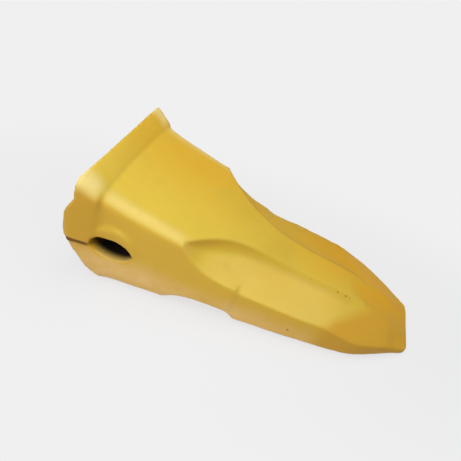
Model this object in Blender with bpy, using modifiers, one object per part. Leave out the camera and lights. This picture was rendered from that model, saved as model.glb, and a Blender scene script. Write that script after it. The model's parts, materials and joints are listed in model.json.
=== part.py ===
# Rock bucket tooth: one steel casting that slides over the nose of an adapter on a digging bucket.
# A hollow box behind carries the nose socket and the pin ears. A flat blade runs forward to a chisel
# edge, with a rib along its back and two leaf-shaped scoops beside the rib, above and below.
#
# Design axes: x runs forward from the lip's rear edge, y to the sides, z = 0 is the mould's parting plane.
# The finished tooth is turned nose-down until its keel lies flat, as it comes to rest on a floor.

import math

import bmesh
import bpy
import numpy as np

# Overall sizes, in metres
LENGTH = 0.306
EDGE_WIDTH = 0.0594
EDGE_TOP = -0.0010
EDGE_BOTTOM = -0.0070
EDGE_CORNER = 0.006
EDGE_CORNER_SHARE = 0.5

# Rear lip and the collar that it forms round the box
LIP_HEIGHT = 0.0666
LIP_FRONT_HEIGHT = 0.0568
LIP_CROWN = 1.12
LIP_END = 0.0175
LIP_CORNER = 0.0092
LIP_BOW = 0.16
LIP_DRAFT = -0.045
LIP_FOOT = 0.0022
LIP_FOOT_FADE = 0.016
COLLAR_HALF_WIDTH = 0.0780

# Hollow box
BOX_START = 0.0210
BOX_TOP = 0.0516
BOX_HALF_WIDTH = 0.0734
BOX_CORNER = 0.0085
BELLY_CORNER_EAR = 0.0145
BELLY_CORNER_BOX = 0.0270
BELLY_CORNER_START = 0.026
BELLY_CORNER_END = 0.056
SIDE_DRAFT = 0.020

# Stations of the blade, as shares of the tooth's length
SCOOP_START = 0.2935 * LENGTH
SAG_START = 0.367 * LENGTH
LOWER_STEP_START = 0.4525 * LENGTH
CHEEK_END = 0.4656 * LENGTH
BLADE_BEND = 0.6623 * LENGTH
SCOOP_SIDE_END = 0.7295 * LENGTH
BEVEL_START = 0.7869 * LENGTH
TAPER_START = 0.8361 * LENGTH
SCOOP_POINT = 0.8787 * LENGTH
BEVEL_END = 0.9262 * LENGTH

# Faces of the tooth: the back falls forward and sags a little, the keel rises forward
RIB_END_HEIGHT = 0.0183
BEVEL_END_HEIGHT = 0.0083
BACK_SAG = 0.0044
KEEL_REAR_STATION = 0.030
KEEL_REAR_DEPTH = 0.0404

# Cheeks and blade, seen from above
CHEEK_START_HALF_WIDTH = 0.0697
CHEEK_END_HALF_WIDTH = 0.0675
CHEEK_STEP = 0.006
BLADE_START_HALF_WIDTH = 0.0660
BLADE_BEND_HALF_WIDTH = 0.0626
TAPER_START_HALF_WIDTH = 0.0582
TAPER_BLEND = 0.0020

# Rib along the back and the keel
RIB_HALF_WIDTH = 0.0175
RIB_SPREAD = 0.030
RIB_SPREAD_WIDTH = 0.0475
RIB_SPREAD_POWER = 1.15

# Scoops
SCOOP_BLEND = 0.008
SCOOP_LEAD = 0.004
FLOOR_SHARE = 0.42
FLOOR_SPACING = 1.5
WALL_POWER = 9.0
UPPER_EDGE_CHEEK = 0.0160
UPPER_EDGE_RISE = 0.0243
UPPER_EDGE_SPREAD = 0.0155
UPPER_EDGE_BLADE = 0.0123
STEP_HEIGHT = 0.0018
STEP_LENGTH = 0.0035
STEP_FADE = 0.015
STEP_REACH = 0.009
UPPER_TILT = 0.228
UPPER_ROUND = 0.0018
UPPER_ROUND_LEAD = 0.0025
UPPER_ROUND_FADE = 0.006
LOWER_EDGE_BOX = 0.0150
LOWER_EDGE_RISE = 0.0150
LOWER_EDGE_SPREAD = 0.015
LOWER_EDGE_BLADE = 0.0200
LOWER_TILT = 0.080
LOWER_ROUND_CHEEK = 0.0100
LOWER_ROUND_BLADE = 0.0030
LOWER_ROUND_FADE = 0.030
LOWER_STEP = 0.014
LAND_WIDTH = 0.001
SCOOP_LEAST_WIDTH = 0.003
EDGE_SHARE = 0.45

# Pin ears
PIN_STATION = 0.0343
PIN_HEIGHT = 0.0047
PIN_SLOT_LENGTH = 0.0374
PIN_SLOT_HEIGHT = 0.0214
BOSS_FACE = 0.0745
BOSS_TILT = 0.106
BOSS_CREST = math.radians(105.0)
BOSS_RADIUS = 0.0212
BOSS_FOOT = 0.0075
BOSS_ROOT = 0.060
BOSS_SINK = 0.001
EAR_REAR = -0.0103
EAR_REAR_HEIGHT = 0.015
EAR_ROUND = 0.009
HEEL_STATION = 0.036
HEEL_ROUNDNESS = 1.32
HEEL_CUT = 0.001
LIP_THICKNESS = 0.0205

# Parting line: the lower half of the mould is shifted inwards at the ears
PARTING_STEP = 0.0024
PARTING_STEP_END = 0.0240
PARTING_EXIT = 0.0003

# Nose socket
SOCKET_REAR_HALF_WIDTH = 0.0565
SOCKET_REAR_TOP = 0.0380
SOCKET_REAR_BOTTOM = -0.0280
SOCKET_FLAT_START = 0.104
SOCKET_DEPTH = 0.130
SOCKET_END_HALF_WIDTH = 0.0330
SOCKET_END_TOP = 0.0170
SOCKET_END_BOTTOM = -0.0125
SOCKET_CORNER = 0.010

OVERSHOOT = 0.012

# Sides and steps of the round outlines
BOSS_SIDES = 48
SLOT_SIDES = 40
SOCKET_CORNER_STEPS = 4
BULGE_STEPS = 8
HEEL_STEPS = 12
PARTING_STEPS = 12


def mix(a, b, t):
    """Straight blend from a to b, held at both ends."""
    t = min(max(t, 0.0), 1.0)
    return a + (b - a) * t


def ease(t):
    """Smooth blend factor from 0 to 1, held at both ends."""
    t = min(max(t, 0.0), 1.0)
    return t * t * (3.0 - 2.0 * t)


def soft_min(a, b, radius):
    """The smaller of two lengths, rounded over where they meet."""
    return 0.5 * (a + b - math.hypot(a - b, 2.0 * radius))


def quarter_drop(distance, radius):
    """How far a rounded edge has fallen, at a distance in from its outer end."""
    inner = max(radius - distance, 0.0)
    return radius - math.sqrt(max(radius * radius - inner * inner, 0.0))


# Outline of the tooth seen from above and from the side

def half_width(x):
    """Half the tooth's width at the parting plane."""
    box = mix(BOX_HALF_WIDTH, CHEEK_START_HALF_WIDTH, (x - BOX_START) / (SCOOP_START - BOX_START))
    if x <= BOX_START:
        return mix(COLLAR_HALF_WIDTH, box, x / BOX_START) - quarter_drop(x - EAR_REAR, EAR_ROUND)
    if x <= SCOOP_START:
        return box
    along_cheek = (x - SCOOP_START) / (CHEEK_END - SCOOP_START)
    cheek = mix(CHEEK_START_HALF_WIDTH, CHEEK_END_HALF_WIDTH, along_cheek)
    if x <= CHEEK_END + CHEEK_STEP:
        return mix(cheek, BLADE_START_HALF_WIDTH, ease((x - CHEEK_END) / CHEEK_STEP))
    blade_start = CHEEK_END + CHEEK_STEP
    if x <= BLADE_BEND:
        along_blade = (x - blade_start) / (BLADE_BEND - blade_start)
        return mix(BLADE_START_HALF_WIDTH, BLADE_BEND_HALF_WIDTH, along_blade)
    flank_slope = (BLADE_BEND_HALF_WIDTH - TAPER_START_HALF_WIDTH) / (TAPER_START - BLADE_BEND)
    taper_slope = (TAPER_START_HALF_WIDTH - EDGE_WIDTH / 2) / (LENGTH - TAPER_START)
    flank = BLADE_BEND_HALF_WIDTH - flank_slope * (x - BLADE_BEND)
    taper = EDGE_WIDTH / 2 + taper_slope * (LENGTH - x)
    return soft_min(flank, taper, TAPER_BLEND) - EDGE_CORNER_SHARE * quarter_drop(LENGTH - x, EDGE_CORNER)


def back_height(x):
    """Height of the box's and the rib's top face, a little raised at the lip's foot."""
    slope = (BOX_TOP - RIB_END_HEIGHT) / (BEVEL_START - BOX_START)
    along = mix(0.0, 1.0, (x - SAG_START) / (BEVEL_START - SAG_START))
    foot = LIP_FOOT * math.exp(-max(x - BOX_START, 0.0) / LIP_FOOT_FADE)
    return BOX_TOP + foot - slope * (x - BOX_START) - BACK_SAG * math.sin(math.pi * along) ** 2


def bevel_height(x):
    """Height of the bevel in front of the rib, on the tooth's middle line."""
    slope = (RIB_END_HEIGHT - BEVEL_END_HEIGHT) / (BEVEL_END - BEVEL_START)
    return RIB_END_HEIGHT - slope * (x - BEVEL_START)


def crest(x, y):
    """Height of the tooth's back: lip, shorter in its middle, then back, bevel and end bevel."""
    if x <= BOX_START:
        along = max(x, 0.0) * (1.0 + LIP_BOW * (1.0 - (y / COLLAR_HALF_WIDTH) ** 2))
        lip = LIP_HEIGHT - (LIP_HEIGHT - LIP_FRONT_HEIGHT) * (along / LIP_END) ** LIP_CROWN
        return mix(lip, back_height(x), ease((along - LIP_END) / (BOX_START - LIP_END)))
    if x <= BEVEL_START:
        return back_height(x)
    if x <= BEVEL_END:
        return bevel_height(x)
    return mix(bevel_height(BEVEL_END), EDGE_TOP, (x - BEVEL_END) / (LENGTH - BEVEL_END))


def keel_depth(x):
    """Depth of the keel below the parting plane: one straight line from the box to the edge."""
    slope = (KEEL_REAR_DEPTH + EDGE_BOTTOM) / (LENGTH - KEEL_REAR_STATION)
    return KEEL_REAR_DEPTH - slope * (x - KEEL_REAR_STATION)


def rib_half_width(x, limit):
    """Half-width of the rib: it spreads backwards until it takes up the whole box."""
    distance = max(x - SCOOP_START, 0.0) / RIB_SPREAD
    return min(limit, RIB_HALF_WIDTH + RIB_SPREAD_WIDTH * math.exp(-distance ** RIB_SPREAD_POWER))


def scoop_outer(x, rim):
    """Outer border of a scoop: the blade's rim, then a diagonal to the point in front of the rib."""
    if x <= SCOOP_SIDE_END:
        return rim
    end = RIB_HALF_WIDTH + LAND_WIDTH
    if x <= SCOOP_POINT:
        return min(rim, mix(rim, end, (x - SCOOP_SIDE_END) / (SCOOP_POINT - SCOOP_SIDE_END)))
    return mix(end, 0.5 * (end + rim), (x - SCOOP_POINT) / (BEVEL_END - SCOOP_POINT))


def parting(x):
    """Height of the parting line: flat, and falling to the middle of the edge at the tip."""
    return mix(0.0, 0.5 * (EDGE_TOP + EDGE_BOTTOM), (x - SCOOP_POINT) / (LENGTH - SCOOP_POINT))


# Borders and radii of the scoops, above and below

def upper_edge(x):
    """Height of the scoop's outer border above the parting plane."""
    level = mix(UPPER_EDGE_CHEEK, UPPER_EDGE_BLADE, ease((x - SCOOP_START) / (BLADE_BEND - SCOOP_START)))
    return level + UPPER_EDGE_RISE * math.exp((SCOOP_START - x) / UPPER_EDGE_SPREAD)


def rim_step(x):
    """How far the rim stands above its mean height: up behind the cheek's end, down in front of it."""
    side = 1.0 - 2.0 * ease((x - CHEEK_END) / STEP_LENGTH)
    return side * STEP_HEIGHT * math.exp(-abs(x - CHEEK_END - STEP_LENGTH / 2) / STEP_FADE)


def lower_edge(x):
    """Depth of the lower scoop's outer rim below the parting plane."""
    cheek = LOWER_EDGE_BOX + LOWER_EDGE_RISE * math.exp((SCOOP_START - x) / LOWER_EDGE_SPREAD)
    blade_start = LOWER_STEP_START + LOWER_STEP
    front = keel_depth(SCOOP_SIDE_END) - LOWER_TILT * (half_width(SCOOP_SIDE_END) - RIB_HALF_WIDTH)
    blade = mix(LOWER_EDGE_BLADE, front, (x - blade_start) / (SCOOP_SIDE_END - blade_start))
    return mix(cheek, blade, ease((x - LOWER_STEP_START) / LOWER_STEP))


def upper_round(x):
    """Radius between top and side: lip and box shoulder, running out into the scoop's rim."""
    box = mix(LIP_CORNER, BOX_CORNER, ease((x - LIP_END) / (BOX_START - LIP_END)))
    return mix(box, UPPER_ROUND, (x - SCOOP_START + UPPER_ROUND_LEAD) / UPPER_ROUND_FADE)


def lower_round(x):
    """Radius between belly and side: small under the ears, larger before them, small on the blade."""
    spread = ease((x - BELLY_CORNER_START) / (BELLY_CORNER_END - BELLY_CORNER_START))
    box = mix(BELLY_CORNER_EAR, BELLY_CORNER_BOX, spread)
    cheek = mix(box, LOWER_ROUND_CHEEK, (x - SCOOP_START) / LOWER_ROUND_FADE)
    return mix(cheek, LOWER_ROUND_BLADE, ease((x - LOWER_STEP_START) / LOWER_STEP))


# One half of the outer skin, above or below, at one station

class Face:
    """Shape of the upper or lower half: heights are measured away from the plane z = 0."""

    def __init__(self, direction, ridge, facet, edge, step, edge_round, lip_draft, tilt, counts):
        self.direction = direction
        self.ridge = ridge
        self.facet = facet
        self.edge = edge
        self.step = step
        self.edge_round = edge_round
        self.lip_draft = lip_draft
        self.tilt = tilt
        self.counts = counts

    def outer_height(self, x, y):
        """Height of the rim beside the rib, and in front of the scoop of the tilted facet."""
        if x <= SCOOP_SIDE_END:
            return min(self.edge(x), self.ridge(x, y))
        tilted = self.facet(x) - self.tilt * max(y - RIB_HALF_WIDTH, 0.0)
        end_blend = (x - BEVEL_END) / (LENGTH - BEVEL_END)
        return mix(tilted, self.ridge(LENGTH, y), end_blend)

    def points(self, x):
        """Half-section from the middle line out: flat rib, concave scoop, land, rounded edge and side."""
        flat, scoop, land, rounding, side = self.counts
        base = self.direction * parting(x)
        rough_rim = self.outer_height(x, half_width(x))
        radius = min(self.edge_round(x), EDGE_SHARE * (rough_rim - base))
        draft = mix(self.lip_draft, SIDE_DRAFT, ease((x - LIP_END) / (BOX_START - LIP_END)))
        rim = half_width(x) - draft * (rough_rim - base) - radius
        rib = rib_half_width(x, rim - SCOOP_LEAST_WIDTH)
        top = self.ridge(x, rib)
        outer = max(scoop_outer(x, rim - LAND_WIDTH), rib + LAND_WIDTH)
        outer_height = self.outer_height(x, outer)
        fade = ease((x - SCOOP_POINT + SCOOP_BLEND) / SCOOP_BLEND)
        share = mix(FLOOR_SHARE, 1.0, fade)
        points = [(rib * i / flat, self.ridge(x, rib * i / flat)) for i in range(flat)]
        step = self.step(x)
        for i in range(scoop + 1):
            t = (i / scoop) ** FLOOR_SPACING
            fall = share * (1 - t) + (1 - share) * (1 - t) ** WALL_POWER
            y = mix(rib, outer, t)
            lift = step * ease(1 - (rim - y) / STEP_REACH)
            points.append((y, outer_height + (top - outer_height) * fall + lift))
        rim_height = self.outer_height(x, rim) + step
        for i in range(1, land + 1):
            points.append((mix(outer, rim, i / land), mix(outer_height + step, rim_height, i / land)))
        centre_height = rim_height - radius
        for i in range(1, rounding + 1):
            angle = 0.5 * math.pi * i / rounding
            points.append((rim + radius * math.sin(angle), centre_height + radius * math.cos(angle)))
        for i in range(1, side + 1):
            t = i / side
            points.append((mix(rim + radius, half_width(x), t), mix(centre_height, base, t)))
        return points


UPPER = Face(1, crest, bevel_height, upper_edge, rim_step, upper_round, LIP_DRAFT,
             UPPER_TILT, (4, 11, 1, 5, 2))
LOWER = Face(-1, lambda x, y: keel_depth(x), keel_depth, lower_edge, lambda x: 0.0, lower_round, SIDE_DRAFT,
             LOWER_TILT, (2, 5, 1, 5, 1))


def section(x):
    """Outer skin at one station, from the back's middle line round the side to the keel's."""
    above = [(x, y, z) for y, z in UPPER.points(x)]
    below = [(x, y, -z) for y, z in LOWER.points(x)]
    return above + below[-2::-1]


def stations():
    """Stations of the loft, close together where the shape turns."""
    spans = [
        (EAR_REAR, EAR_REAR + EAR_ROUND, 6),
        (EAR_REAR + EAR_ROUND, LIP_END / 2, 2),
        (LIP_END / 2, BOX_START, 9),
        (BOX_START, BELLY_CORNER_END, 5),
        (BELLY_CORNER_END, SCOOP_START - SCOOP_LEAD, 3),
        (SCOOP_START - SCOOP_LEAD, SCOOP_START + SCOOP_BLEND, 7),
        (SCOOP_START + SCOOP_BLEND, LOWER_STEP_START, 10),
        (LOWER_STEP_START, CHEEK_END, 2),
        (CHEEK_END, CHEEK_END + CHEEK_STEP, 5),
        (CHEEK_END + CHEEK_STEP, LOWER_STEP_START + LOWER_STEP, 3),
        (LOWER_STEP_START + LOWER_STEP, BLADE_BEND, 4),
        (BLADE_BEND, SCOOP_SIDE_END, 2),
        (SCOOP_SIDE_END, BEVEL_START, 3),
        (BEVEL_START, SCOOP_POINT, 6),
        (SCOOP_POINT, BEVEL_END, 2),
        (BEVEL_END, LENGTH - EDGE_CORNER, 2),
        (LENGTH - EDGE_CORNER, LENGTH, 3),
    ]
    places = [start + (end - start) * i / count for start, end, count in spans for i in range(count)]
    return places + [LENGTH]


# Mesh building

def new_object(name, bm, collection, frame):
    """Store a bmesh as an object under the tooth's design frame."""
    bmesh.ops.recalc_face_normals(bm, faces=bm.faces)
    mesh = bpy.data.meshes.new(name)
    bm.to_mesh(mesh)
    bm.free()
    obj = bpy.data.objects.new(name, mesh)
    collection.objects.link(obj)
    obj.parent = frame
    return obj


def loft(bm, rings, closed):
    """Skin a row of rings with equal counts, and close both ends."""
    loops = [[bm.verts.new(point) for point in ring] for ring in rings]
    count = len(loops[0])
    for near, far in zip(loops, loops[1:]):
        for i in range(count if closed else count - 1):
            j = (i + 1) % count
            bm.faces.new((near[i], near[j], far[j], far[i]))
    bm.faces.new(loops[0])
    bm.faces.new(loops[-1])


def add_boolean(obj, operation, tool):
    """Join or cut with a hidden tool solid."""
    modifier = obj.modifiers.new(tool.name, "BOOLEAN")
    modifier.operation = operation
    modifier.object = tool
    modifier.solver = "EXACT"


def mark_tool(obj):
    """Show a tool solid as wires and keep it out of renders."""
    obj.hide_render = True
    obj.display_type = "WIRE"
    return obj


def build_skin(collection, frame):
    """The cast outer form: a half lofted along the tooth, mirrored to the other side."""
    bm = bmesh.new()
    loft(bm, [section(x) for x in stations()], closed=False)
    skin = new_object("bucket_tooth", bm, collection, frame)
    mirror = skin.modifiers.new("other_side", "MIRROR")
    mirror.use_axis = (False, True, False)
    mirror.use_mirror_merge = True
    mirror.merge_threshold = 0.00001
    return skin


def build_bosses(collection, frame):
    """A raised round boss about each pin slot: highest behind and above, fading out in front and below."""
    bm = bmesh.new()
    foot = half_width(PIN_STATION + BOSS_RADIUS + BOSS_FOOT) - BOSS_SINK
    for side in (-1, 1):
        rings = []
        for radius, y in ((BOSS_RADIUS + BOSS_FOOT, BOSS_ROOT),
                          (BOSS_RADIUS + BOSS_FOOT, foot),
                          (BOSS_RADIUS, BOSS_FACE)):
            ring = []
            for i in range(BOSS_SIDES):
                angle = 2 * math.pi * i / BOSS_SIDES
                fall = BOSS_TILT * radius * (1.0 - math.cos(angle - BOSS_CREST))
                ring.append((PIN_STATION + radius * math.cos(angle), side * (y - fall),
                             PIN_HEIGHT + radius * math.sin(angle)))
            rings.append(ring)
        loft(bm, rings, closed=True)
    return mark_tool(new_object("pin_bosses", bm, collection, frame))


def build_pin_slot(collection, frame):
    """Oval pin slot through both ears."""
    bm = bmesh.new()
    outline = []
    for i in range(SLOT_SIDES):
        angle = 2 * math.pi * i / SLOT_SIDES
        outline.append((PIN_STATION + PIN_SLOT_LENGTH / 2 * math.cos(angle),
                        PIN_HEIGHT + PIN_SLOT_HEIGHT / 2 * math.sin(angle)))
    reach = COLLAR_HALF_WIDTH + OVERSHOOT
    loft(bm, [[(x, y, z) for x, z in outline] for y in (-reach, reach)], closed=True)
    return mark_tool(new_object("pin_slot", bm, collection, frame))


def socket_ring(x, half_width_here, top, bottom):
    """Rounded rectangle of the nose socket at one station."""
    centres = (
        (half_width_here - SOCKET_CORNER, top - SOCKET_CORNER, 0.0),
        (SOCKET_CORNER - half_width_here, top - SOCKET_CORNER, 0.5 * math.pi),
        (SOCKET_CORNER - half_width_here, bottom + SOCKET_CORNER, math.pi),
        (half_width_here - SOCKET_CORNER, bottom + SOCKET_CORNER, 1.5 * math.pi),
    )
    ring = []
    for y, z, start in centres:
        for i in range(SOCKET_CORNER_STEPS + 1):
            angle = start + 0.5 * math.pi * i / SOCKET_CORNER_STEPS
            ring.append((x, y + SOCKET_CORNER * math.cos(angle), z + SOCKET_CORNER * math.sin(angle)))
    return ring


def build_socket(collection, frame):
    """Tapered nose socket with a short parallel seat and a flat nose stop at its inner end."""
    bm = bmesh.new()
    mouth = EAR_REAR - OVERSHOOT
    seat_width = SOCKET_END_HALF_WIDTH
    growth = (SOCKET_FLAT_START - mouth) / SOCKET_FLAT_START
    rings = [
        socket_ring(mouth, mix_beyond(seat_width, SOCKET_REAR_HALF_WIDTH, growth),
                    mix_beyond(SOCKET_END_TOP, SOCKET_REAR_TOP, growth),
                    mix_beyond(SOCKET_END_BOTTOM, SOCKET_REAR_BOTTOM, growth)),
        socket_ring(SOCKET_FLAT_START, seat_width, SOCKET_END_TOP, SOCKET_END_BOTTOM),
        socket_ring(SOCKET_DEPTH, seat_width, SOCKET_END_TOP, SOCKET_END_BOTTOM),
    ]
    loft(bm, rings, closed=True)
    return mark_tool(new_object("nose_socket", bm, collection, frame))


def mix_beyond(a, b, t):
    """Straight blend from a to b that carries on past both ends."""
    return a + (b - a) * t


def rear_outline():
    """Rear border seen from the side: lip, bulging upper ear, then the heel that runs into the belly."""
    ear_top = LIP_HEIGHT - LIP_THICKNESS
    points = [(0.0, LIP_HEIGHT + OVERSHOOT), (0.0, ear_top)]
    for i in range(1, BULGE_STEPS + 1):
        t = i / BULGE_STEPS
        points.append((EAR_REAR * math.sin(0.5 * math.pi * t), mix(ear_top, EAR_REAR_HEIGHT, t)))
    length = HEEL_STATION - EAR_REAR
    depth = EAR_REAR_HEIGHT + keel_depth(HEEL_STATION) + HEEL_CUT
    power = 2 / HEEL_ROUNDNESS
    for i in range(1, HEEL_STEPS + 1):
        angle = 0.5 * math.pi * i / HEEL_STEPS
        points.append((HEEL_STATION - length * math.cos(angle) ** power,
                       EAR_REAR_HEIGHT - depth * math.sin(angle) ** power))
    return points


def build_rear_trim(collection, frame):
    """Everything behind the rear outline is cut away across the whole width."""
    bm = bmesh.new()
    behind = EAR_REAR - OVERSHOOT
    below = -KEEL_REAR_DEPTH - OVERSHOOT
    outline = rear_outline()
    outline += [(HEEL_STATION, below), (behind, below), (behind, LIP_HEIGHT + OVERSHOOT)]
    reach = COLLAR_HALF_WIDTH + OVERSHOOT
    loft(bm, [[(x, y, z) for x, z in outline] for y in (-reach, reach)], closed=True)
    return mark_tool(new_object("rear_trim", bm, collection, frame))


def build_parting_step(collection, frame):
    """Thin wedges that set the lower half of each ear in, below the parting plane."""
    bm = bmesh.new()
    outside = COLLAR_HALF_WIDTH + OVERSHOOT
    below = -KEEL_REAR_DEPTH - OVERSHOOT
    outline = []
    for i in range(PARTING_STEPS + 1):
        t = i / PARTING_STEPS
        x = mix(EAR_REAR, PARTING_STEP_END, t)
        outline.append((x, half_width(x) + PARTING_EXIT - PARTING_STEP * ease(2 * (1 - t))))
    rear_width = outline[0][1]
    behind = EAR_REAR - OVERSHOOT
    outline += [(PARTING_STEP_END, outside), (behind, outside), (behind, rear_width)]
    for side in (-1, 1):
        loft(bm, [[(x, side * y, z) for x, y in outline] for z in (0.0, below)], closed=True)
    return mark_tool(new_object("parting_step", bm, collection, frame))


def paint_material():
    """Yellow paint over cast steel."""
    material = bpy.data.materials.new("yellow_paint")
    material.use_nodes = True
    shader = material.node_tree.nodes["Principled BSDF"]
    shader.inputs["Base Color"].default_value = (0.66, 0.43, 0.08, 1.0)
    shader.inputs["Roughness"].default_value = 0.5
    shader.inputs["Metallic"].default_value = 0.0
    return material


def lay_on_keel(frame, tooth):
    """Turn the design frame until the keel is level, on z = 0 and centred over the origin."""
    keel_rise = (KEEL_REAR_DEPTH + EDGE_BOTTOM) / (LENGTH - KEEL_REAR_STATION)
    frame.rotation_euler = (0.0, math.atan(keel_rise), 0.0)
    bpy.context.view_layer.update()
    evaluated = tooth.evaluated_get(bpy.context.evaluated_depsgraph_get())
    mesh = evaluated.to_mesh()
    corners = np.array([evaluated.matrix_world @ vertex.co for vertex in mesh.vertices])
    evaluated.to_mesh_clear()
    low = corners.min(axis=0)
    high = corners.max(axis=0)
    frame.location = (-(low[0] + high[0]) / 2, -(low[1] + high[1]) / 2, -low[2])


def main():
    for obj in list(bpy.data.objects):
        bpy.data.objects.remove(obj, do_unlink=True)
    parts = bpy.data.collections.new("rock_bucket_tooth")
    tools = bpy.data.collections.new("cutters")
    for collection in (parts, tools):
        bpy.context.scene.collection.children.link(collection)

    frame = bpy.data.objects.new("tooth_frame", None)
    parts.objects.link(frame)

    tooth = build_skin(parts, frame)
    add_boolean(tooth, "UNION", build_bosses(tools, frame))
    add_boolean(tooth, "DIFFERENCE", build_rear_trim(tools, frame))
    add_boolean(tooth, "DIFFERENCE", build_parting_step(tools, frame))
    add_boolean(tooth, "DIFFERENCE", build_socket(tools, frame))
    add_boolean(tooth, "DIFFERENCE", build_pin_slot(tools, frame))
    tooth.data.materials.append(paint_material())
    lay_on_keel(frame, tooth)


main()
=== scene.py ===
# Looks of the rock bucket tooth: one steel casting under yellow paint, on a pale studio floor.
#
# Lengths are in metres. Where a place is given on the tooth, it is in the casting's own axes:
# x from the lip to the chisel edge, y to the sides, z up from the mould's parting plane.
# A pair of numbers gives the values at which a mask is 0 and 1: of a length, of the upward part of
# the normal, of the skin's curve or of a noise.

import json
import math
from types import SimpleNamespace

import bmesh
import bpy
import numpy as np
from mathutils import Matrix, Vector, noise


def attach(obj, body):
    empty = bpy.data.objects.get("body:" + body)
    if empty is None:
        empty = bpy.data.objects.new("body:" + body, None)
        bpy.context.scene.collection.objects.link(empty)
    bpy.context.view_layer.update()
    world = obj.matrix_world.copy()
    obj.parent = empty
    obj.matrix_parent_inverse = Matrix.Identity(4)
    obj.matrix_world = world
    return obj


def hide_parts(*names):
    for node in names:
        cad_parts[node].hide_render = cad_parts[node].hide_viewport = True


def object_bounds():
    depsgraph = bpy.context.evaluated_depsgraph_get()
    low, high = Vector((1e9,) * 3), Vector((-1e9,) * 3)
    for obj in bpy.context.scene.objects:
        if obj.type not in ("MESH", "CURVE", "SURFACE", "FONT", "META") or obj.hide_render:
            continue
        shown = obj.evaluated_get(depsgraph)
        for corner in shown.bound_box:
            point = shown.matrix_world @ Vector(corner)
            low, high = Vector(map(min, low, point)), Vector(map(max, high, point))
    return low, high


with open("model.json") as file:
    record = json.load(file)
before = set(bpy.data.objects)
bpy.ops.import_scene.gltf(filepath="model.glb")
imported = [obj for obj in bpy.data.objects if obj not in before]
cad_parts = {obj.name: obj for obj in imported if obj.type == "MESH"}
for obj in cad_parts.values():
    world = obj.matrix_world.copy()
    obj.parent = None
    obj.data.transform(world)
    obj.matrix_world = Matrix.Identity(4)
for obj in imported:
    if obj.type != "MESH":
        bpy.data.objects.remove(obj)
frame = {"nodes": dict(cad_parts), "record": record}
cad_box = [list(corner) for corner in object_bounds()]

# Nose stop in the casting's axes: the record gives its place in the frame
NOSE_STOP = Vector((0.130, 0.0, 0.00225))

# Casting's skin
MERGE_DISTANCE = 0.00001
SKIN_VOXEL = 0.0015
SMOOTH_FACTOR = 0.5
SKIN_SMOOTHING = 4
BOX_MARGIN = 0.00005
LONG_RIPPLE = 0.00040
LONG_RIPPLE_SCALE = 32.0
SHORT_RIPPLE = 0.00014
SHORT_RIPPLE_SCALE = 110.0

# Far end of the step in the scoop's rim
FAR_STEP = Vector((0.1450, 0.0665, 0.0110))
FAR_STEP_REACH = 0.032
FAR_STEP_ROUNDS = 90

# Soft corner between the collar and the box's sides
COLLAR_FOOT = 0.0215
COLLAR_FOOT_REACH = 0.014
COLLAR_FOOT_SIDE = 0.058
COLLAR_FOOT_SIDE_FADE = 0.004
COLLAR_FOOT_TOP = 0.048
COLLAR_FOOT_TOP_FADE = 0.010
COLLAR_FOOT_BOTTOM = 0.022
COLLAR_FOOT_BOTTOM_FADE = 0.008
COLLAR_FOOT_ROUNDS = 60

# Nose socket, as the mould's core leaves it
SOCKET_DEPTH = 0.130
SOCKET_SEAT = 0.104
SOCKET_SEAT_HALF_WIDTH = 0.0330
SOCKET_MOUTH_HALF_WIDTH = 0.0565
SOCKET_SEAT_TOP = 0.0170
SOCKET_MOUTH_TOP = 0.0380
SOCKET_SEAT_BOTTOM = -0.0125
SOCKET_MOUTH_BOTTOM = -0.0280
SOCKET_EDGE = (0.003, 0.0015)
SOCKET_DRIFT = (0.004, 0.022)
SOCKET_DRIFT_SPREAD = 0.03

# Pin slots, and how far out from the middle the bare steel inside them reaches, coloured near black as
# painted shade
PIN_STATION = 0.0343
PIN_HEIGHT = 0.0047
SLOT_HALF_FLAT = 0.0080
SLOT_RADIUS = 0.0107
SLOT_SHADE_REACH = 0.0610
SLOT_SHADE_FADE = 0.011
SLOT_LIP = 0.0015
SLOT_WALL = 0.003
SLOT_EDGE = 0.001

# Camera, in the casting's axes
IMAGE_SIDE = 461
FOCAL_PIXELS = 472.03
SENSOR_WIDTH = 36.0
CAMERA_PLACE = Vector((0.130174, -0.343375, 0.290860))
CAMERA_AZIMUTH = math.radians(-2.0545)
CAMERA_ELEVATION = math.radians(38.4085)
CAMERA_ROLL = math.radians(22.7990)
CAMERA_CLIP_START = 0.01

# Places on the tooth
BLADE_TIP = 0.306
FACET_START = 0.222
FACET_POINT = 0.272
FACET_HALF_WIDTH = 0.056
SCOOP_START = 0.0898
RIB_END = 0.240
RIB_HALF_WIDTH = 0.0175
RIB_FRONT = (0.00525, 0.02625)
RIB_SPREAD = 0.030
RIB_SPREAD_WIDTH = 0.0475
RIB_SPREAD_POWER = 1.15

# Parting seam on the ears, painted dark brown as the shadow under the upper half's step
SEAM_END = 0.019
SEAM_FADE = 0.007
SEAM_SIDE = (0.060, 0.064)
SEAM_HEIGHT = 0.0018
SEAM_WANDER = 0.0014
SEAM_HALF_WIDTH = 0.0011
SEAM_HALF_WIDTH_SPREAD = 0.0018
SEAM_REAR_WIDTH = 0.0005
SEAM_REAR = (0.014, -0.008)
SEAM_EDGE = (0.0008, -0.0006)
SEAM_GROOVE = 0.0007
SEAM_GROOVE_WIDTH = 0.0028
SEAM_GROOVE_FADE = 0.006

# Chips in the paint: place and radius
CHIP_RAGGEDNESS = 2.5
CHIP_CORE = 0.3
CHIPS = (
    ((0.2014, -0.0189, 0.0204), 0.0008),
    ((0.2281, -0.0184, 0.0191), 0.0012),
    ((0.2326, -0.0159, 0.0193), 0.0010),
    ((0.2362, -0.0178, 0.0181), 0.0014),
    ((0.2402, -0.0179, 0.0180), 0.0011),
    ((0.1977, -0.0628, -0.0052), 0.0016),
)
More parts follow.
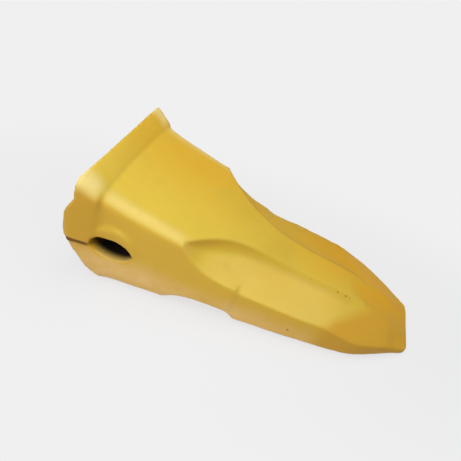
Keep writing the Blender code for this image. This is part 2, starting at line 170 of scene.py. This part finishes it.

# Where the yellow of the paint changes. Lemon on upward faces and towards the near side is painted light;
# amber and orange on the flanks, the far side and the far front are painted shade.
SKYWARD = (0.10, 0.85)
FLANKS = (0.35, 0.0)
FAR_SIDE = (-0.055, 0.060)
FAR_FLANK = (-0.070, 0.020)
FAR_FRONT = (0.150, 0.260)
FAR_FRONT_SIDE = (-0.025, 0.025)
REAR_FLANK = (0.050, 0.005)
OLIVE_PATCHES = (0.54, 0.72)
OLIVE_UPWARD = (0.3, 0.8)
# Near scoop floor and belly: light tan painted as light and as bounce light from the floor
SCOOP_FLOOR = (0.000, 0.006)
SCOOP_REAR = (0.095, 0.120)
SCOOP_FRONT = (0.250, 0.215)
SCOOP_UPWARD = (0.55, 0.85)
NEAR_SCOOP = (0.010, -0.010)
FAR_SCOOP = (0.000, 0.030)
BELLY_TOP = 0.010
BELLY_FADE = (0.0, 0.028)
BELLY_WANDER = 0.010
BELLY_UPWARD = 0.45
BELLY_UPWARD_FADE = (0.0, 0.5)
TIP_FAR_SIDE = (-0.030, 0.015)
TIP_FADE = (-0.006, 0.014)
TIP_WANDER = 0.014

# Where pale yellow is painted as highlights
LIP_CORNER = (0.022, 0.010)
LIP_CORNER_SIDE = (0.052, 0.070)
LIP_CORNER_HEIGHT = (0.044, 0.058)
LIP_CORNER_UPWARD = (-0.15, 0.75)
SHOULDER_REAR = (0.016, 0.026)
SHOULDER_FRONT = (0.105, 0.080)
SHOULDER_SIDE = (0.053, 0.064)
SHOULDER_UPWARD = (0.25, 0.80)
HIGHLIGHT_EDGES = (0.510, 0.560)
DULL_EDGES = (0.505, 0.540)

# Where dark brown is painted as shade, and where dirt smudges lie
HOLLOW_REACH = 0.022
HOLLOWS = (0.10, 0.75)
COLLAR_REAR = (0.008, 0.016)
COLLAR_FRONT = (0.036, 0.026)
COLLAR_SIDE = (0.055, 0.066)
RIB_WALL_TOP = (-0.003, 0.001)
RIB_WALL_FOOT = (0.010, 0.003)
RIB_WALL_REAR = (0.110, 0.140)
RIB_WALL_FRONT = (0.250, 0.235)
SMUDGES = (0.58, 0.74)
SMUDGED_CLOUDS = (0.42, 0.60)

# How much lemon lies everywhere, how much more is painted as light on top, and what painted shade takes off
# on the far side and its front
LEMON_COVER = 0.30
TOP_LIGHT = 0.62
FAR_SIDE_SHADE = 0.55
FAR_FRONT_SHADE = 0.40
LEMON_CLOUDS = 0.50

# How strongly the other colours cover what is below them
# Orange painted as shade on the rear flanks
REAR_FLANK_SHADE = 0.55
OLIVE_COVER = 0.25
# Light tan painted as light on the near scoop's floor and as bounce light on the belly
NEAR_SCOOP_LIGHT = 0.05
NEAR_SCOOP_LIGHT_PATCHES = 0.22
BELLY_BOUNCE = 0.60
BELLY_BOUNCE_PATCHES = 1.0
BELLY_BOUNCE_BLOTCHES = 0.5
# Amber painted as shade on the pin slots' walls
SLOT_WALL_SHADE = 0.65
TIP_ORANGE = 0.85
# Pale yellow painted as highlights on corners, shoulders and edges
CORNER_HIGHLIGHT = 0.75
SHOULDER_HIGHLIGHT = 0.38
EDGE_HIGHLIGHT = 0.10
HIGHLIGHT_COVER = 0.55
HIGHLIGHT_PATCHES = 0.8
# Dark brown painted as shade in hollows, in the far scoop and on the rib's walls; the smudges are dirt
HOLLOW_SHADE = 0.32
COLLAR_SHADE_LOSS = 0.28
FAR_SCOOP_SHADE = 0.05
FAR_SCOOP_SHADE_PATCHES = 0.08
RIB_WALL_SHADE = 0.13
SMUDGE_GRIME = 0.11
CHIP_COVER = 0.60
# Dark brown painted as the shadow along the parting seam
SEAM_SHADOW_COVER = 0.95

# Fineness of the patterns in the paint and the skin, as noise scales
CLOUD_SCALE = 11.0
OLIVE_SCALE = 19.0
PATCH_SCALE = 34.0
SMUDGE_SCALE = 48.0
SWELL_SCALE = 70.0
RUST_SCALE = 75.0
BLOTCH_SCALE = 120.0
GRAIN_SCALE = 380.0
FILM_SCALE = 1600.0
RUST_PATCHES = (0.5, 0.75)
CLOUD_SHARE = 1.1
PATCH_SHARE = 0.8
BLOTCH_SHARE = 0.25

# Relief of the skin, and roughness of the paint with what blotches, hollows, seam and edges add
BUMP_HEIGHT = 0.0006
BUMP_STRENGTH = 0.55
GRAIN_HEIGHT = 0.22
BARE_GRAIN_HEIGHT = 0.6
FILM_HEIGHT = 0.05
PAINT_ROUGHNESS = 0.37
BLOTCH_ROUGHNESS = 0.16
HOLLOW_ROUGHNESS = 0.10
SEAM_ROUGHNESS = 0.30
EDGE_ROUGHNESS = 0.45

# Paint and steel, as linear colours
# Lemon on lit upward faces; honey, amber and orange on shaded flanks and the far side, as painted light and
# shade
LEMON = (0.690, 0.495, 0.056, 1.0)
OLIVE = (0.530, 0.380, 0.035, 1.0)
HONEY = (0.720, 0.408, 0.050, 1.0)
AMBER = (0.700, 0.370, 0.016, 1.0)
ORANGE = (0.640, 0.335, 0.030, 1.0)
BRIGHT_ORANGE = (0.755, 0.395, 0.014, 1.0)
# Light tan painted as light on the near scoop and as bounce light from the floor low down
BOUNCE_TAN = (0.870, 0.585, 0.245, 1.0)
# Pale yellow painted as highlights
HIGHLIGHT_YELLOW = (0.870, 0.700, 0.280, 1.0)
# Dark brown: painted shade in hollows, the far scoop and on the rib's walls, and dirt in smudges
GRIME_AND_SHADE = (0.150, 0.095, 0.030, 1.0)
# Dark brown of the chips, and of the shadow painted along the parting seam
CHIP_AND_SEAM_SHADOW_BROWN = (0.190, 0.085, 0.020, 1.0)
# Near-black bare steel: painted shade inside the socket and the slots
STEEL_IN_SHADE = (0.012, 0.009, 0.007, 1.0)
RUST = (0.070, 0.030, 0.014, 1.0)
PAINT_GLOSS = 0.11
STEEL_GLOSS = 0.06
STEEL_ROUGHNESS = 0.85

# Floor, backdrop, and the light that the pale surround gives the tooth
FLOOR_SIZE = 6.0
FLOOR_GREY = (0.800, 0.800, 0.805, 1.0)
FLOOR_GLOW = 1.015
FLOOR_SHADOW = 0.20
SHADOW_REACH = (0.24, 0.072)
SHADOW_STRETCH = 0.25
BACKDROP_GREY = (0.858, 0.858, 0.865, 1.0)
SURROUND = 0.12

# Lamps: name, place, size and power
LAMP_AIM = Vector((0.0, 0.0, 0.03))
LAMPS = (
    ("near_lamp", Vector((-0.25, -0.40, 0.60)), 0.45, 2.75),
    ("front_lamp", Vector((0.0, -0.40, 0.60)), 0.30, 0.9),
    ("overhead_lamp", Vector((0.0, 0.0, 0.60)), 0.30, 1.15),
    ("far_lamp", Vector((0.70, 0.70, 0.99)), 0.60, 1.9),
)


def casting_axes():
    """Placement of the casting's axes in the frame, from the record's nose stop."""
    stop = next(mount for mount in frame["record"]["mounts"] if mount["name"] == "nose_stop")
    forward = -Vector(stop["axis"]).normalized()
    tilt = Matrix.Rotation(math.atan2(-forward.z, forward.x), 4, "Y")
    place = Vector(stop["pos_m"]) - tilt @ NOSE_STOP
    return Matrix.Translation(place) @ tilt


AXES = casting_axes()


# Shader trees

class Shade:
    """One socket of a shader tree. Sums on it add Math nodes; any other node comes from node()."""

    def __init__(self, tree, socket=None):
        self.tree = tree
        self.socket = socket

    def node(self, kind, settings=None, inputs=None, output=0):
        """Add a node: its settings first, then the values or links of its sockets."""
        made = self.tree.nodes.new(kind)
        for name, value in (settings or {}).items():
            setattr(made, name, value)
        for name, value in (inputs or {}).items():
            if isinstance(value, Shade):
                self.tree.links.new(value.socket, made.inputs[name])
            else:
                made.inputs[name].default_value = value
        return Shade(self.tree, made.outputs[output])

    def math(self, operation, *values, clamp=False):
        """Add a Math node."""
        return self.node("ShaderNodeMath", {"operation": operation, "use_clamp": clamp},
                         dict(enumerate(values)))

    def __add__(self, other):
        return self.math("ADD", self, other)

    def __radd__(self, other):
        return self.math("ADD", other, self)

    def __sub__(self, other):
        return self.math("SUBTRACT", self, other)

    def __rsub__(self, other):
        return self.math("SUBTRACT", other, self)

    def __mul__(self, other):
        return self.math("MULTIPLY", self, other)

    def __rmul__(self, other):
        return self.math("MULTIPLY", other, self)

    def __abs__(self):
        return self.math("ABSOLUTE", self)

    def step(self, start, end):
        """Smooth rise from 0 at start to 1 at end."""
        settings = {"interpolation_type": "SMOOTHSTEP"}
        return self.node("ShaderNodeMapRange", settings, {"Value": self, "From Min": start, "From Max": end})

    def mix(self, first, second):
        """Colour between two colours, by this factor."""
        settings = {"data_type": "RGBA"}
        return self.node("ShaderNodeMix", settings, {0: self, 6: first, 7: second}, output=2)

    def limited(self):
        """The same value, held between 0 and 1."""
        return self.math("ADD", self, 0.0, clamp=True)

    def speckle(self, place, scale, detail=2.0, roughness=0.5):
        """Noise from 0 to 1 at a place."""
        inputs = {"Vector": place, "Scale": scale, "Detail": detail, "Roughness": roughness}
        return self.node("ShaderNodeTexNoise", {}, inputs)


def new_material(name):
    """Empty material: its tree as a Shade, and the output node."""
    material = bpy.data.materials.new(name)
    material.use_nodes = True
    tree = material.node_tree
    tree.nodes.clear()
    return material, Shade(tree), tree.nodes.new("ShaderNodeOutputMaterial")


def painted_casting():
    """Yellow paint over a sand-cast skin, with painted light, shade and highlights in its colours; bare
    steel, coloured near black as painted shade, inside the nose socket and pin slots.
    """
    material, shade, output = new_material("painted_cast_steel")
    at = surface(shade)
    scoop = scoop_floor(at)
    hollow = hollows(at)
    seam = parting_seam(at)
    # Bare steel, coloured near black as painted shade, inside the socket and deep in the pin slots
    bare_shaded = socket_zone(at) * (at.x + (at.patch - 0.5) * SOCKET_DRIFT_SPREAD).step(*SOCKET_DRIFT)

    # Yellow tones with painted light and shade, under pale yellow painted highlights
    paint = painted_highlights(at, yellow_coat_with_painted_light(at, scoop))
    # Dark brown painted shade in hollows, the far scoop and on the rib's walls, and dirt smudges
    paint = dirt_and_painted_shade(at, paint, scoop, hollow)
    paint = (chips(at) * CHIP_COVER).mix(paint, CHIP_AND_SEAM_SHADOW_BROWN)
    # Dark brown painted shadow along the parting seam
    paint = (seam * SEAM_SHADOW_COVER).limited().mix(paint, CHIP_AND_SEAM_SHADOW_BROWN)
    rust = shade.speckle(at.place, RUST_SCALE, detail=4.0, roughness=0.65).step(*RUST_PATCHES)
    steel = rust.mix(STEEL_IN_SHADE, RUST)

    dull = at.curve.step(*DULL_EDGES)
    roughness = PAINT_ROUGHNESS + at.blotch * BLOTCH_ROUGHNESS + hollow * HOLLOW_ROUGHNESS
    roughness = roughness + seam * SEAM_ROUGHNESS + dull * EDGE_ROUGHNESS
    relief = cast_relief(at, bare_shaded)
    inputs = {"Base Color": paint, "Roughness": roughness, "Normal": relief,
              "Specular IOR Level": PAINT_GLOSS}
    painted = shade.node("ShaderNodeBsdfPrincipled", {}, inputs)
    inputs = {"Base Color": steel, "Roughness": STEEL_ROUGHNESS, "Normal": relief,
              "Specular IOR Level": STEEL_GLOSS}
    bare_in_shade = shade.node("ShaderNodeBsdfPrincipled", {}, inputs)
    shader = shade.node("ShaderNodeMixShader", {}, {0: bare_shaded, 1: painted, 2: bare_in_shade})
    shade.tree.links.new(shader.socket, output.inputs["Surface"])
    return material


def surface(shade):
    """What the masks of the tooth read: place, slope and curve of the skin, and clouds in the paint."""
    coordinates = shade.node("ShaderNodeTexCoord", output=3)
    inputs = {"Vector": coordinates, "Location": AXES.to_translation(), "Rotation": AXES.to_euler()}
    place = shade.node("ShaderNodeMapping", {"vector_type": "TEXTURE"}, inputs)
    x, y, z = (shade.node("ShaderNodeSeparateXYZ", {}, {0: place}, output=i) for i in range(3))
    normal = shade.node("ShaderNodeTexCoord", output=1)
    up = shade.node("ShaderNodeSeparateXYZ", {}, {0: normal}, output=2)
    curve = shade.node("ShaderNodeNewGeometry", output=7)
    cloud = shade.speckle(place, CLOUD_SCALE, detail=2.0)
    patch = shade.speckle(place, PATCH_SCALE, detail=3.0, roughness=0.55)
    blotch = shade.speckle(place, BLOTCH_SCALE, detail=4.0, roughness=0.6)
    grain = shade.speckle(place, GRAIN_SCALE, detail=3.0, roughness=0.6)
    uneven = (cloud - 0.5) * CLOUD_SHARE + (patch - 0.5) * PATCH_SHARE + (blotch - 0.5) * BLOTCH_SHARE
    return SimpleNamespace(shade=shade, place=place, x=x, y=y, z=z, side=abs(y), up=up, curve=curve,
                           cloud=cloud, patch=patch, blotch=blotch, grain=grain, uneven=uneven)


def yellow_coat_with_painted_light(at, scoop):
    """Paint with painted light and shade: lemon on lit upward faces, honey to amber and orange on shaded
    flanks, light tan bounce light low down and on the near scoop, amber shade in the slots, orange at the
    tip, brighter on its far half.
    """
    far_front = at.x.step(*FAR_FRONT) * at.y.step(*FAR_FRONT_SIDE)
    # Lemon is painted light on upward faces; the far side and the far front lose it as painted shade
    lemon_light = at.up.step(*SKYWARD) * TOP_LIGHT - at.y.step(*FAR_SIDE) * FAR_SIDE_SHADE
    lemon_light = lemon_light + LEMON_COVER - far_front * FAR_FRONT_SHADE
    lemon = (lemon_light + at.uneven * LEMON_CLOUDS).limited()
    # Honey on the near flanks and amber on the far flanks: painted light from the near side
    paint = lemon.mix(at.y.step(*FAR_FLANK).mix(HONEY, AMBER), LEMON)
    # Orange on the rear flanks is painted shade of the side faces
    rear_flank = at.up.step(*FLANKS) * at.x.step(*REAR_FLANK)
    paint = (rear_flank * REAR_FLANK_SHADE).mix(paint, ORANGE)
    olive = at.shade.speckle(at.place, OLIVE_SCALE, detail=2.0, roughness=0.4).step(*OLIVE_PATCHES)
    paint = (olive * at.up.step(*OLIVE_UPWARD) * OLIVE_COVER).mix(paint, OLIVE)
    # Light tan on the near scoop's floor is painted light
    scoop_light = NEAR_SCOOP_LIGHT + at.patch * NEAR_SCOOP_LIGHT_PATCHES
    paint = (scoop * at.y.step(*NEAR_SCOOP) * scoop_light).mix(paint, BOUNCE_TAN)
    # Light tan low down, on faces that turn downwards, is painted bounce light from the floor
    belly = (BELLY_TOP - at.z + (at.patch - 0.5) * BELLY_WANDER).step(*BELLY_FADE)
    belly = belly * (BELLY_UPWARD - at.up).step(*BELLY_UPWARD_FADE)
    mottled_bounce = BELLY_BOUNCE + (at.patch - 0.5) * BELLY_BOUNCE_PATCHES + (at.blotch - 0.5) * BELLY_BOUNCE_BLOTCHES
    paint = (belly * mottled_bounce).limited().mix(paint, BOUNCE_TAN)
    # Amber on the pin slots' walls is painted shade
    paint = (pin_slot(at, SLOT_LIP) * SLOT_WALL_SHADE).mix(paint, AMBER)
    tip = at.y.step(*TIP_FAR_SIDE).mix(ORANGE, BRIGHT_ORANGE)
    return (tip_zone(at) * TIP_ORANGE).mix(paint, tip)


def painted_highlights(at, paint):
    """Pale yellow painted highlights on the lip's corners, on the box's shoulders and on sharp edges."""
    corner = at.x.step(*LIP_CORNER) * at.side.step(*LIP_CORNER_SIDE)
    corner = corner * at.up.step(*LIP_CORNER_UPWARD) * at.z.step(*LIP_CORNER_HEIGHT)
    shoulder = at.x.step(*SHOULDER_REAR) * at.x.step(*SHOULDER_FRONT)
    shoulder = shoulder * at.side.step(*SHOULDER_SIDE) * at.up.step(*SHOULDER_UPWARD)
    # Painted highlights: corners, shoulders and edges
    highlight = corner * CORNER_HIGHLIGHT + shoulder * SHOULDER_HIGHLIGHT + at.curve.step(*HIGHLIGHT_EDGES) * EDGE_HIGHLIGHT
    return (highlight * (HIGHLIGHT_COVER + at.patch * HIGHLIGHT_PATCHES)).limited().mix(paint, HIGHLIGHT_YELLOW)


def dirt_and_painted_shade(at, paint, scoop, hollow):
    """Dark brown painted shade in the hollows, in the far scoop and on the rib's walls, and dirt in a few
    smudges.
    """
    collar = at.x.step(*COLLAR_REAR) * at.x.step(*COLLAR_FRONT) * at.side.step(*COLLAR_SIDE)
    beside = beside_rib(at)
    rib_wall = beside.step(*RIB_WALL_TOP) * beside.step(*RIB_WALL_FOOT)
    rib_wall = rib_wall * at.x.step(*RIB_WALL_REAR) * at.x.step(*RIB_WALL_FRONT)
    far_scoop = scoop * at.y.step(*FAR_SCOOP)
    # Painted shade: in hollows, less at the collar's foot, in the far scoop and on the rib's walls
    painted_shade = hollow * (HOLLOW_SHADE - collar * COLLAR_SHADE_LOSS)
    painted_shade = painted_shade + far_scoop * (FAR_SCOOP_SHADE + at.patch * FAR_SCOOP_SHADE_PATCHES)
    painted_shade = painted_shade + rib_wall * RIB_WALL_SHADE
    paint = painted_shade.limited().mix(paint, GRIME_AND_SHADE)
    smudge = at.shade.speckle(at.place, SMUDGE_SCALE, detail=5.0, roughness=0.7).step(*SMUDGES)
    return (smudge * at.cloud.step(*SMUDGED_CLOUDS) * SMUDGE_GRIME).mix(paint, GRIME_AND_SHADE)


def hollows(at):
    """Mask of the places that are closed in by other faces, where shade is painted darker."""
    settings = {"samples": 8, "only_local": True}
    open_air = at.shade.node("ShaderNodeAmbientOcclusion", settings, {"Distance": HOLLOW_REACH}, output=1)
    return (1.0 - open_air).step(*HOLLOWS) * (0.5 + at.blotch * 0.5)


def cast_relief(at, bare_shaded):
    """Normal of the cast skin: long swells, sand grain, coarser where the steel is left unpainted, and the
    paint's own film.
    """
    swell = at.shade.speckle(at.place, SWELL_SCALE, detail=2.0)
    film = at.shade.speckle(at.place, FILM_SCALE, detail=2.0)
    height = swell + at.grain * (GRAIN_HEIGHT + bare_shaded * BARE_GRAIN_HEIGHT) + film * FILM_HEIGHT
    inputs = {"Height": height, "Distance": BUMP_HEIGHT, "Strength": BUMP_STRENGTH}
    return at.shade.node("ShaderNodeBump", {}, inputs)


def tip_zone(at):
    """Mask of the ground facets and the bevel in front of the scoops and the rib."""
    border = FACET_START + (FACET_HALF_WIDTH - at.side) * ((FACET_POINT - FACET_START) / FACET_HALF_WIDTH)
    off_rib = at.side.step(*RIB_FRONT)
    rib = RIB_END + off_rib * (BLADE_TIP - RIB_END)
    start = at.shade.math("MINIMUM", border, rib)
    return (at.x + at.uneven * TIP_WANDER - start).step(*TIP_FADE)


def beside_rib(at):
    """Distance outwards from the rib's edge, which spreads into the arches at the rear of the scoops."""
    distance = at.shade.math("MAXIMUM", (at.x - SCOOP_START) * (1.0 / RIB_SPREAD), 0.0)
    spread = at.shade.math("EXPONENT", 0.0 - at.shade.math("POWER", distance, RIB_SPREAD_POWER))
    return at.side - (RIB_HALF_WIDTH + spread * RIB_SPREAD_WIDTH)


def scoop_floor(at):
    """Mask of the scoops' floors on both sides of the rib."""
    along = at.x.step(*SCOOP_REAR) * at.x.step(*SCOOP_FRONT)
    return beside_rib(at).step(*SCOOP_FLOOR) * along * at.up.step(*SCOOP_UPWARD)


def pin_slot(at, margin):
    """Mask of the pin slots' walls, out to a margin around the openings."""
    along = at.shade.math("MAXIMUM", abs(at.x - PIN_STATION) - SLOT_HALF_FLAT, 0.0)
    height = at.z - PIN_HEIGHT
    distance = at.shade.math("SQRT", along * along + height * height)
    return (distance - SLOT_RADIUS).step(margin, margin - SLOT_EDGE)


def chips(at):
    """Mask of a few small dark chips along the rib and on the blade's side."""
    mask = 0.0
    for centre, radius in CHIPS:
        settings = {"operation": "DISTANCE"}
        distance = at.shade.node("ShaderNodeVectorMath", settings, {0: at.place, 1: centre}, output=1)
        ragged = distance + (at.grain - 0.5) * radius * CHIP_RAGGEDNESS
        mask = at.shade.math("MAXIMUM", mask, ragged.step(radius, radius * CHIP_CORE))
    return mask


def parting_seam(at):
    """Mask of the seam where the two halves of the mould met on the ears, widest at the rear: painted dark
    brown as the shadow under the upper half's step.
    """
    half_width = SEAM_HALF_WIDTH + at.patch * SEAM_HALF_WIDTH_SPREAD
    half_width = half_width + at.x.step(*SEAM_REAR) * SEAM_REAR_WIDTH
    height = at.z - SEAM_HEIGHT + (at.patch - 0.5) * SEAM_WANDER
    line = (abs(height) - half_width).step(*SEAM_EDGE)
    return line * at.x.step(SEAM_END, SEAM_END - SEAM_FADE) * at.side.step(*SEAM_SIDE)


def socket_zone(at):
    """Mask of the nose socket's walls and of the pin slots' inner halves: bare steel there is coloured near
    black as painted shade.
    """
    reach = at.shade.math("MAXIMUM", SOCKET_SEAT - at.x, 0.0) * (1.0 / SOCKET_SEAT)
    side = SOCKET_SEAT_HALF_WIDTH + reach * (SOCKET_MOUTH_HALF_WIDTH - SOCKET_SEAT_HALF_WIDTH)
    top = SOCKET_SEAT_TOP + reach * (SOCKET_MOUTH_TOP - SOCKET_SEAT_TOP)
    bottom = SOCKET_SEAT_BOTTOM + reach * (SOCKET_MOUTH_BOTTOM - SOCKET_SEAT_BOTTOM)
    walls = (at.side - side).step(*SOCKET_EDGE) * (at.x - SOCKET_DEPTH).step(*SOCKET_EDGE)
    walls = walls * (at.z - top).step(*SOCKET_EDGE) * (bottom - at.z).step(*SOCKET_EDGE)
    bare_in_shade = (at.side - SLOT_SHADE_REACH).step(SLOT_SHADE_FADE, 0.0)
    return at.shade.math("MAXIMUM", walls, pin_slot(at, SLOT_WALL) * bare_in_shade)


def seen_directly(shade):
    """1 where a surface is seen itself, in a gloss or through glass, 0 for the light that it gives off."""
    camera = shade.node("ShaderNodeLightPath", output=0)
    glossy = shade.node("ShaderNodeLightPath", output=3)
    transmission = shade.node("ShaderNodeLightPath", output=6)
    return shade.math("MAXIMUM", shade.math("MAXIMUM", camera, glossy), transmission)


def pale_floor():
    """Even pale floor that takes the tooth's soft shadow close around it."""
    material, shade, output = new_material("pale_floor")
    plain = shade.node("ShaderNodeBsdfDiffuse", {}, {"Color": FLOOR_GREY})
    glow = shade.node("ShaderNodeEmission", {}, {"Color": BACKDROP_GREY, "Strength": FLOOR_GLOW})
    place = shade.node("ShaderNodeTexCoord", output=3)
    x, y = (shade.node("ShaderNodeSeparateXYZ", {}, {0: place}, output=i) for i in range(2))
    distance = shade.math("SQRT", x * x * SHADOW_STRETCH + y * y)
    shadow = distance.step(*SHADOW_REACH) * FLOOR_SHADOW
    shown = shade.node("ShaderNodeMixShader", {}, {0: shadow, 1: glow, 2: plain})
    seen = seen_directly(shade)
    mixed = shade.node("ShaderNodeMixShader", {}, {0: seen, 1: plain, 2: shown})
    shade.tree.links.new(mixed.socket, output.inputs["Surface"])
    return material


# Casting

def merged_copy(node, name):
    """Copy of a CAD node's mesh with its loose triangles merged."""
    bm = bmesh.new()
    bm.from_mesh(frame["nodes"][node].data)
    bmesh.ops.remove_doubles(bm, verts=bm.verts, dist=MERGE_DISTANCE)
    mesh = bpy.data.meshes.new(name)
    bm.to_mesh(mesh)
    bm.free()
    piece = bpy.data.objects.new(name, mesh)
    bpy.context.scene.collection.objects.link(piece)
    return piece


def apply_modifiers(piece):
    """Replace a piece's mesh by what its modifiers make of it."""
    made = bpy.data.meshes.new_from_object(piece.evaluated_get(bpy.context.evaluated_depsgraph_get()))
    piece.modifiers.clear()
    piece.data = made


def cast_skin():
    """The tooth as it leaves the mould: soft edges and an uneven, slightly rippled skin."""
    tooth = merged_copy("bucket_tooth", "tooth_casting")
    remesh = tooth.modifiers.new("even_skin", "REMESH")
    remesh.mode = "VOXEL"
    remesh.voxel_size = SKIN_VOXEL
    soften = tooth.modifiers.new("soft_edges", "SMOOTH")
    soften.factor = SMOOTH_FACTOR
    soften.iterations = SKIN_SMOOTHING
    apply_modifiers(tooth)
    dress_smooth(tooth, far_step, FAR_STEP_ROUNDS)
    dress_smooth(tooth, collar_foot, COLLAR_FOOT_ROUNDS)
    ripple_skin(tooth)
    tooth.data.shade_smooth()
    tooth.data.materials.clear()
    tooth.data.materials.append(painted_casting())
    return tooth


def dress_smooth(tooth, weight, rounds):
    """Smooth the skin where a function of the place in the casting's axes gives a weight."""
    group = tooth.vertex_groups.new(name="dressed")
    to_casting = AXES.inverted()
    for vertex in tooth.data.vertices:
        strength = weight(to_casting @ vertex.co)
        if strength > 0.0:
            group.add([vertex.index], min(1.0, strength), "REPLACE")
    blend = tooth.modifiers.new("dressed", "SMOOTH")
    blend.vertex_group = group.name
    blend.factor = SMOOTH_FACTOR
    blend.iterations = rounds
    apply_modifiers(tooth)
    tooth.vertex_groups.clear()


def far_step(place):
    """Weight around the far end of the step in the scoop's rim, which has been dressed smooth."""
    return 2.0 * (1.0 - (place - FAR_STEP).length / FAR_STEP_REACH)


def collar_foot(place):
    """Weight along the soft corner where the collar meets the box's sides."""
    beside = np.clip((abs(place.y) - COLLAR_FOOT_SIDE) / COLLAR_FOOT_SIDE_FADE, 0.0, 1.0)
    below = np.clip((COLLAR_FOOT_TOP - place.z) / COLLAR_FOOT_TOP_FADE, 0.0, 1.0)
    above = np.clip((place.z - COLLAR_FOOT_BOTTOM) / COLLAR_FOOT_BOTTOM_FADE, 0.0, 1.0)
    return beside * below * above * (1.0 - abs(place.x - COLLAR_FOOT) / COLLAR_FOOT_REACH)


def ripple_skin(tooth):
    """Move the skin in and out by fractions of a millimetre, never past the CAD box, and open the seam."""
    mesh = tooth.data
    count = len(mesh.vertices)
    places = np.empty(count * 3)
    mesh.vertices.foreach_get("co", places)
    places = places.reshape(count, 3)
    normals = np.empty(count * 3)
    mesh.vertices.foreach_get("normal", normals)
    normals = normals.reshape(count, 3)
    lift = np.empty(count)
    for i, place in enumerate(places):
        point = Vector(place)
        lift[i] = LONG_RIPPLE * noise.noise(point * LONG_RIPPLE_SCALE)
        lift[i] += SHORT_RIPPLE * noise.noise(point * SHORT_RIPPLE_SCALE)
    to_casting = np.array(AXES.inverted())
    x, y, z = to_casting[:3, :3] @ places.T + to_casting[:3, 3:]
    across = np.clip(1.0 - np.abs(z - SEAM_HEIGHT) / SEAM_GROOVE_WIDTH, 0.0, 1.0)
    along = np.clip((SEAM_END - x) / SEAM_GROOVE_FADE, 0.0, 1.0)
    lift -= SEAM_GROOVE * across * along * (np.abs(y) > SEAM_SIDE[0])
    places += normals * lift[:, None]
    low = np.array(cad_box[0]) + BOX_MARGIN
    high = np.array(cad_box[1]) - BOX_MARGIN
    mesh.vertices.foreach_set("co", np.clip(places, low, high).ravel())
    mesh.update()


# Studio

def build_floor():
    """Wide pale floor."""
    bm = bmesh.new()
    bmesh.ops.create_grid(bm, x_segments=1, y_segments=1, size=FLOOR_SIZE)
    mesh = bpy.data.meshes.new("studio_floor")
    bm.to_mesh(mesh)
    bm.free()
    floor = bpy.data.objects.new("studio_floor", mesh)
    bpy.context.scene.collection.objects.link(floor)
    mesh.materials.append(pale_floor())


def add_lamp(name, place, size, power):
    """Soft square lamp aimed at the tooth."""
    light = bpy.data.lights.new(name, "AREA")
    light.shape = "SQUARE"
    light.size = size
    light.energy = power
    lamp = bpy.data.objects.new(name, light)
    lamp.location = place
    lamp.rotation_euler = (LAMP_AIM - place).to_track_quat("-Z", "Y").to_euler()
    bpy.context.scene.collection.objects.link(lamp)


def build_lights():
    """Soft lamps close above the near side and overhead, a weak one behind, and a pale surround."""
    for lamp in LAMPS:
        add_lamp(*lamp)
    world = bpy.data.worlds.new("pale_surround")
    world.use_nodes = True
    tree = world.node_tree
    tree.nodes.clear()
    shade = Shade(tree)
    strength = SURROUND + seen_directly(shade) * (1.0 - SURROUND)
    background = shade.node("ShaderNodeBackground", {}, {"Color": BACKDROP_GREY, "Strength": strength})
    output = tree.nodes.new("ShaderNodeOutputWorld")
    tree.links.new(background.socket, output.inputs["Surface"])
    bpy.context.scene.world = world


def build_camera():
    """Camera at the photograph's place and angle."""
    look = Vector((math.sin(CAMERA_AZIMUTH) * math.cos(CAMERA_ELEVATION),
                   math.cos(CAMERA_AZIMUTH) * math.cos(CAMERA_ELEVATION),
                   -math.sin(CAMERA_ELEVATION)))
    level = Vector((math.cos(CAMERA_AZIMUTH), -math.sin(CAMERA_AZIMUTH), 0.0))
    above = level.cross(look)
    right = level * math.cos(CAMERA_ROLL) + above * math.sin(CAMERA_ROLL)
    up = above * math.cos(CAMERA_ROLL) - level * math.sin(CAMERA_ROLL)
    turn = Matrix((right, up, -look)).transposed().to_4x4()
    data = bpy.data.cameras.new("photo_camera")
    data.sensor_width = SENSOR_WIDTH
    data.lens = FOCAL_PIXELS / IMAGE_SIDE * SENSOR_WIDTH
    data.clip_start = CAMERA_CLIP_START
    camera = bpy.data.objects.new("photo_camera", data)
    camera.matrix_world = AXES @ Matrix.Translation(CAMERA_PLACE) @ turn
    bpy.context.scene.collection.objects.link(camera)
    bpy.context.scene.camera = camera


tooth = cast_skin()
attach(tooth, "root")
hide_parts("bucket_tooth")
build_floor()
build_lights()
build_camera()
bpy.context.scene.view_settings.view_transform = "Standard"
